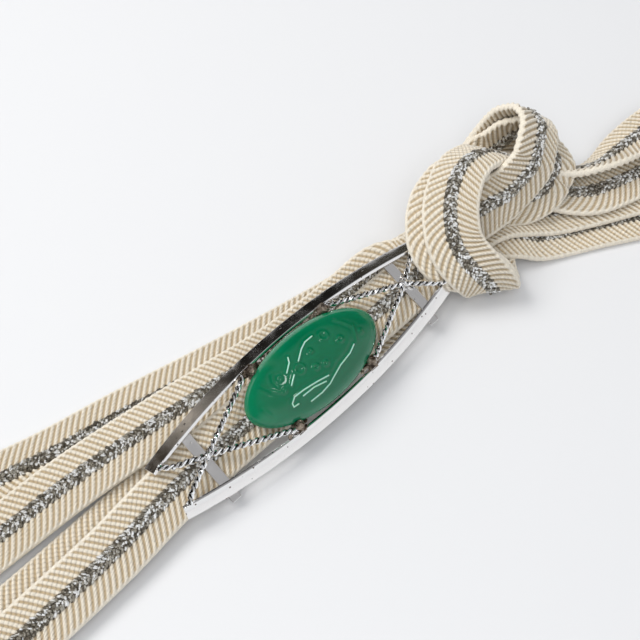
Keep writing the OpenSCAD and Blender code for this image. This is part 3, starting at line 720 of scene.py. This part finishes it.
# The stone's seat: a flat pointed oval frame of silver sheet, soldered between the rails, dull and
# brown where polish never reached. The loops' sides are of the same dull silver.
old_silver, tree, skin = shader("tarnished_silver")
here = node(tree, "ShaderNodeTexCoord")
stain = node(tree, "ShaderNodeTexNoise", [(0, here.outputs["Object"]), ("Scale", 900.0), ("Detail", 6.0)])
tone = node(tree, "ShaderNodeValToRGB", [(0, stain.outputs[0])])
tone.color_ramp.elements[0].position, tone.color_ramp.elements[0].color = 0.44, (0.05, 0.032, 0.02, 1)
tone.color_ramp.elements[1].position, tone.color_ramp.elements[1].color = 0.72, (0.60, 0.50, 0.40, 1)
tree.links.new(tone.outputs[0], skin.inputs["Base Color"])
skin.inputs["Metallic"].default_value = 0.85
skin.inputs["Roughness"].default_value = 0.38
rough = node(tree, "ShaderNodeBump", [("Height", stain.outputs[0]), ("Strength", 0.7), ("Distance", 0.0002)])
tree.links.new(rough.outputs[0], skin.inputs["Normal"])

settle(joined(sides), "slide_loop_sides", old_silver, 0.1 * MM, 3)
SEAT_L, SEAT_W, SEAT_DEEP = 11.2, 5.2, 0.9
seat_r = (SEAT_L ** 2 + SEAT_W ** 2) / (2 * SEAT_W)
bpy.ops.object.select_all(action="DESELECT")
bpy.ops.mesh.primitive_circle_add(vertices=96, radius=1.0, fill_type="NOTHING")
seat = bpy.context.object
for v in seat.data.vertices:
    a = math.atan2(v.co.y, v.co.x)
    x = SEAT_L * math.cos(a)
    y = math.sqrt(max(seat_r ** 2 - x ** 2, 0)) - seat_r + SEAT_W
    v.co = (x * MM, math.copysign(y, math.sin(a)) * MM, 0)
shape_in_edit(seat, lambda: (
    bpy.ops.mesh.extrude_region_move(),
    bpy.ops.transform.resize(value=(0.85, 0.72, 1.0), center_override=(0, 0, 0)),
    bpy.ops.mesh.select_all(action="SELECT"),
    bpy.ops.mesh.extrude_region_move(TRANSFORM_OT_translate={"value": (0, 0, -SEAT_DEEP * MM)}),
    bpy.ops.mesh.select_all(action="SELECT"),
    bpy.ops.mesh.normals_make_consistent(inside=False)))
settle(seat, "slide_seat", old_silver, 0.08 * MM, 2)

# Four claws that hold the stone: rough cast beads on short posts, soldered to the seat by a lug,
# with lumps of solder and grime beside them, all tarnished brown.
CLAW_X, CLAW_Y, BEAD_Z, BEAD_R = 7.3, 5.2, 0.95, 0.70
lumps = ((-1.0, 0.25, 0.42), (1.1, 0.3, 0.38), (0.45, 0.9, 0.5), (-1.9, 0.55, 0.3))  # along, out, radius
claws = []
for x, y in ((-CLAW_X, CLAW_Y), (CLAW_X, CLAW_Y), (-CLAW_X, -CLAW_Y), (CLAW_X, -CLAW_Y)):
    bpy.ops.object.select_all(action="DESELECT")
    bpy.ops.mesh.primitive_ico_sphere_add(subdivisions=4, radius=BEAD_R * MM,
                                          location=(x * MM, y * MM, BEAD_Z * MM))
    bead = bpy.context.object
    bpy.ops.object.transform_apply(location=True)
    centre = Vector((x, y, BEAD_Z)) * MM
    for v in bead.data.vertices:
        d = (v.co - centre).normalized()
        lump = 0.10 * math.sin(7 * d.x + x) * math.sin(6 * d.y + 2) + 0.07 * math.sin(11 * d.z + y)
        v.co = centre + d * (BEAD_R + lump) * MM
    claws.append(bead)
    bpy.ops.object.select_all(action="DESELECT")
    bpy.ops.mesh.primitive_cylinder_add(vertices=24, radius=0.36 * MM, depth=1.6 * MM,
                                        location=(x * MM, y * 1.02 * MM, 0.1 * MM))
    claws.append(bpy.context.object)
    bpy.ops.object.select_all(action="DESELECT")
    bpy.ops.mesh.primitive_cube_add(size=1.0, location=(x * MM, y * 1.04 * MM, -0.45 * MM))
    lug = bpy.context.object
    lug.dimensions = (1.4 * MM, 2.0 * MM, 0.6 * MM)
    claws.append(lug)
    for dx, dy, r in lumps:
        bpy.ops.object.select_all(action="DESELECT")
        bpy.ops.mesh.primitive_ico_sphere_add(subdivisions=3, radius=r * MM, scale=(1.3, 0.8, 0.6), location=(
            (x + dx) * MM, math.copysign(abs(y) + dy, y) * MM * 0.97, (0.12 - 0.35 * dy) * MM))
        lump = bpy.context.object
        bpy.ops.object.transform_apply(location=True, rotation=True, scale=True)
        for v in lump.data.vertices:
            v.co *= 1 + 0.012 * math.sin(9000 * v.co.x + 7000 * v.co.y)
        claws.append(lump)
settle(joined(claws), "slide_claws", old_silver)

# The stone: an oval cabochon of green chalcedony, polished over a shallow carving of stems,
# leaves and buds. A grid is rounded to the oval, raised to a dome, carved, and closed below.
STONE_X, STONE_Y, STONE_Z, RIM_Z = 12.2, 5.9, 4.15, 0.2  # half length, half width, dome, rim's height
STEMS = 6  # how many of the lines below are main stems, whose crests are painted pale
bpy.ops.object.select_all(action="DESELECT")
bpy.ops.mesh.primitive_grid_add(x_subdivisions=230, y_subdivisions=120, size=2.0)
stone = bpy.context.object
carved = [
    [(6.1, -1.8), (4.7, -2.4), (2.4, -2.8), (0.6, -3.4), (-0.5, -3.8), (-2.2, -4.0), (-4.2, -3.9)],
    [(0, -2.8), (-1.8, -2.4), (-4.2, -2), (-5.8, -1.9), (-6.6, -2.4), (-6.7, -2.9), (-5.9, -3)],
    [(-0.8, -3.2), (-2.7, -2.7), (-4.7, -2.6)],
    [(2.1, 3.1), (0.7, 3.1), (-0.5, 2.6), (-2, 1.6)],
    [(-2.7, 3), (-3.1, 2.3), (-4.4, 1.4)], [(-3.8, 0.5), (-4.4, 0.1), (-5.1, -0.4)],
    [(-6.2, 2.5), (-6.7, 1.8), (-6.6, 0.6)], [(-8.3, 2.5), (-7.7, 0.8), (-6.6, -0.5)],
    [(-10.2, -0.3), (-9.9, -1.6), (-9.7, -2.7)], [(6.4, 3), (7.3, 1.6), (7.7, 0.6)],
    [(8, 0.4), (7.4, -0.7), (6.8, -1.7)],
]
buds = [(-2.6, 0.6, 0.7), (3.4, 2.1, 0.65), (4.9, 0.1, 0.4), (0.3, 1.6, 0.25), (0.8, -1.2, 0.3),
        (-6.3, -0.3, 0.25), (-5.7, 1.5, 0.3), (-0.6, -0.7, 0.35), (8.4, -1.0, 0.2)]
co = np.zeros(len(stone.data.vertices) * 3)
stone.data.vertices.foreach_get("co", co)
co = co.reshape(-1, 3)
gx, gy = co[:, 0], co[:, 1]
dx, dy = gx * np.sqrt(1 - gy ** 2 / 2), gy * np.sqrt(1 - gx ** 2 / 2)
reach = np.clip(dx ** 2 + dy ** 2, 0, 1)
px, py = dx * STONE_X, dy * STONE_Y
near = np.full(len(px), 99.0)
for number, line in enumerate(carved):
    if number == STEMS:
        stem = near.copy()
    for (x0, y0), (x1, y1) in zip(line[:-1], line[1:]):
        lx, ly = x1 - x0, y1 - y0
        t = np.clip(((px - x0) * lx + (py - y0) * ly) / (lx ** 2 + ly ** 2), 0, 1)
        near = np.minimum(near, np.hypot(px - x0 - t * lx, py - y0 - t * ly))
for x, y, r in buds:
    near = np.minimum(near, np.abs(np.hypot(px - x, py - y) - r))
ridge_line = 0.12 * np.exp(-(near / 0.2) ** 2) - 0.05 * np.exp(-((near - 0.5) / 0.3) ** 2)
dome = STONE_Z * np.sqrt(1 - reach ** 1.12)
co[:, 0], co[:, 1] = px * MM, py * MM
co[:, 2] = (dome + ridge_line * (1 - reach) ** 0.4 + RIM_Z) * MM
stone.data.vertices.foreach_set("co", co.ravel())
# painted highlight: pale colour along the crests of the main stems
painted_highlight = stone.data.attributes.new("painted_highlight", "FLOAT", "POINT")
painted_highlight.data.foreach_set("value", np.exp(-(stem / 0.11) ** 2).astype(np.float32))
layer = stone.data.uv_layers.active
corner = np.zeros(len(stone.data.loops), np.int32)
stone.data.loops.foreach_get("vertex_index", corner)
layer.data.foreach_set("uv", np.stack([dx, dy], -1)[corner].astype(np.float32).ravel() * 0.5 + 0.5)

bpy.ops.object.select_all(action="DESELECT")
stone.select_set(True)
bpy.context.view_layer.objects.active = stone
bpy.ops.object.mode_set(mode="EDIT")
bpy.ops.mesh.select_mode(type="EDGE")
bpy.ops.mesh.select_all(action="DESELECT")
bpy.ops.mesh.select_non_manifold()
bpy.ops.mesh.edge_face_add()
bpy.ops.mesh.select_all(action="SELECT")
bpy.ops.mesh.normals_make_consistent(inside=False)
bpy.ops.object.mode_set(mode="OBJECT")

# Green chalcedony, a little cloudy and see-through, lighter towards its thin rim. The crests of
# the main stems are painted pale, as the photo's light catches them; from other angles the real
# stone's would shine less.
green, tree, skin = shader("green_chalcedony")
spot = node(tree, "ShaderNodeUVMap", uv_map=layer.name)
centred = node(tree, "ShaderNodeVectorMath", [(0, spot.outputs[0]), (1, (0.5, 0.5, 0.0))],
               operation="SUBTRACT")
out_by = node(tree, "ShaderNodeVectorMath", [(0, centred.outputs[0])], operation="LENGTH")
rim = node(tree, "ShaderNodeMapRange", [(0, out_by.outputs["Value"]), (1, 0.36), (2, 0.5)],
           interpolation_type="SMOOTHSTEP")
here = node(tree, "ShaderNodeTexCoord")
milk = node(tree, "ShaderNodeTexNoise", [(0, here.outputs["Object"]), ("Scale", 180.0), ("Detail", 3.0)])
depth = node(tree, "ShaderNodeMix",
             [(0, milk.outputs[0]), (6, (0.000, 0.12, 0.05, 1)), (7, (0.001, 0.16, 0.07, 1))],
             data_type="RGBA")
tone = node(tree, "ShaderNodeMix", [(0, rim.outputs[0]), (6, depth.outputs[2]), (7, (0.002, 0.19, 0.085, 1))],
            data_type="RGBA")
crests = node(tree, "ShaderNodeAttribute", attribute_name="painted_highlight")
crests = node(tree, "ShaderNodeMapRange",
              [(0, crests.outputs["Fac"]), (1, 0.25), (2, 0.95), (3, 0.0), (4, 0.8)])
tone = node(tree, "ShaderNodeMix", [(0, crests.outputs[0]), (6, tone.outputs[2]), (7, (0.62, 0.95, 0.80, 1))],
            data_type="RGBA")
tree.links.new(tone.outputs[2], skin.inputs["Base Color"])
skin.inputs["Roughness"].default_value = 0.1
skin.inputs["IOR"].default_value = 1.54
skin.inputs["Subsurface Weight"].default_value = 0.35
skin.inputs["Subsurface Radius"].default_value = (0.1, 1.0, 0.45)
skin.inputs["Subsurface Scale"].default_value = 0.0018
settle(stone, "cabochon_stone", green)
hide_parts("cabochon")
